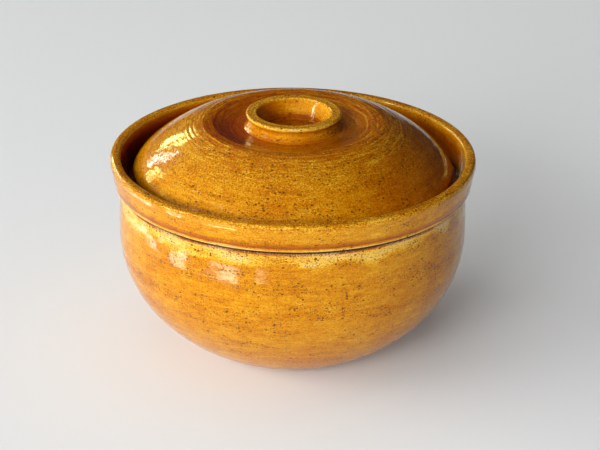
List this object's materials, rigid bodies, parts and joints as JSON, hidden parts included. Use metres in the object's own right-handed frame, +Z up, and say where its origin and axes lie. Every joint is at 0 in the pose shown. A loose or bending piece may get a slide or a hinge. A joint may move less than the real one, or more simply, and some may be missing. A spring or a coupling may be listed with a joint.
{
  "type": "water-seal pickling crock",
  "caption": "Low, round lidded stoneware pickling crock with a thick rim band that forms a water channel, a domed lid with a hollow ring knob, and half-moon weights inside.",
  "frame": {"origin": "centre of the foot, on the table", "axes": "+Z up the crock's axis; +X across the slit between the two weights, to the right in the picture"},
  "size_m": [0.24, 0.24, 0.1582],
  "materials": {
    "amber_glaze": "glossy",
    "honey_glaze": "glossy",
    "bare_clay": "matt"
  },
  "bodies": {
    "crock": {"crock_body": "amber_glaze", "channel_collar": "honey_glaze"},
    "lid": {"lid_shell": "amber_glaze", "lid_knob": "honey_glaze"},
    "weight_on_the_left": {"left_weight": "bare_clay"},
    "weight_on_the_right": {"right_weight": "bare_clay"}
  },
  "joints": [
    {"name": "lid_lift", "type": "slide", "parent": "crock", "child": "lid", "axis": [0, 0, 1], "range_m": [0, 0.15]},
    {"name": "left_weight_lift", "type": "slide", "parent": "crock", "child": "weight_on_the_left", "axis": [0, 0, 1], "range_m": [0, 0.07]},
    {"name": "right_weight_lift", "type": "slide", "parent": "crock", "child": "weight_on_the_right", "axis": [0, 0, 1], "range_m": [0, 0.07]}
  ]
}
